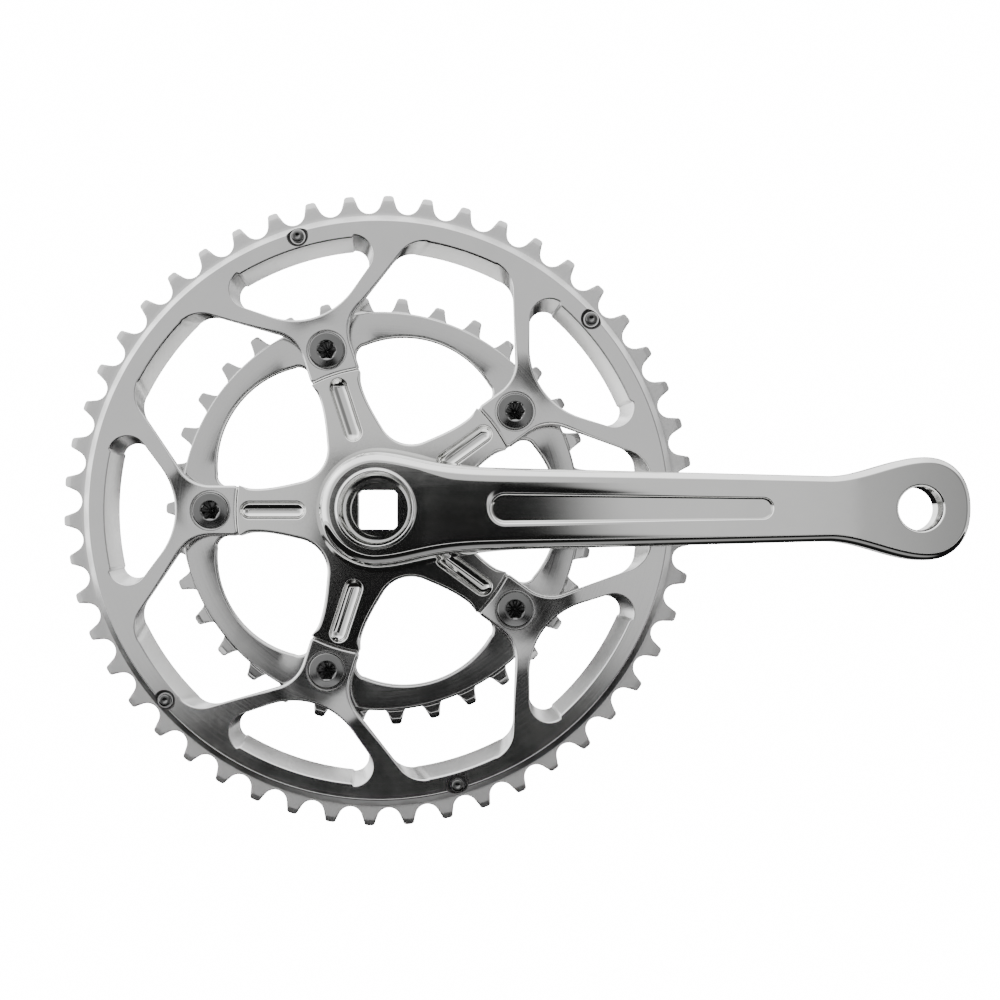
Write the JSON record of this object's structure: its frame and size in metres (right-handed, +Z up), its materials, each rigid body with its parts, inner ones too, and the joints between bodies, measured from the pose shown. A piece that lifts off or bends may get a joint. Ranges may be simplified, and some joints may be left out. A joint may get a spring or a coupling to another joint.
{
  "type": "bicycle crankset",
  "caption": "Polished alloy crank arm with a square socket and pedal eye, on a slim-armed spider carrying two toothed chainrings with dark bolts.",
  "frame": {"origin": "on the crank axis, at the mouth of the square socket on the inboard end of the boss", "axes": "+X from the crank axis to the pedal eye, +Y inboard towards the frame along the crank axis, -Y outboard, +Z up with the arm level"},
  "size_m": [0.2884, 0.0416, 0.2062],
  "materials": {
    "polished_arm_aluminium": "mirror-like polished and clear anodised",
    "polished_spider_aluminium": "polished and clear anodised",
    "satin_outer_ring_aluminium": "machined, fine circular brushing, clear anodised",
    "satin_inner_ring_aluminium": "machined, fine circular brushing, clear anodised",
    "dark_bolt_steel": "blackened, with a turned face",
    "plated_nut_steel": "plated, slightly dulled",
    "shift_pin_steel": "dark riveted steel",
    "drop_pin_steel": "turned steel"
  },
  "bodies": {
    "root": {"crank_arm": "polished_arm_aluminium", "spider": "polished_spider_aluminium", "outer_chainring": "satin_outer_ring_aluminium", "inner_chainring": "satin_inner_ring_aluminium", "chainring_bolt_1": "dark_bolt_steel", "chainring_bolt_2": "dark_bolt_steel", "chainring_bolt_3": "dark_bolt_steel", "chainring_bolt_4": "dark_bolt_steel", "chainring_bolt_5": "dark_bolt_steel", "chainring_nut_1": "plated_nut_steel", "chainring_nut_2": "plated_nut_steel", "chainring_nut_3": "plated_nut_steel", "chainring_nut_4": "plated_nut_steel", "chainring_nut_5": "plated_nut_steel", "shift_pin_1": "shift_pin_steel", "shift_pin_2": "shift_pin_steel", "shift_pin_3": "shift_pin_steel", "shift_pin_4": "shift_pin_steel", "chain_drop_pin": "drop_pin_steel"}
  },
  "joints": []
}
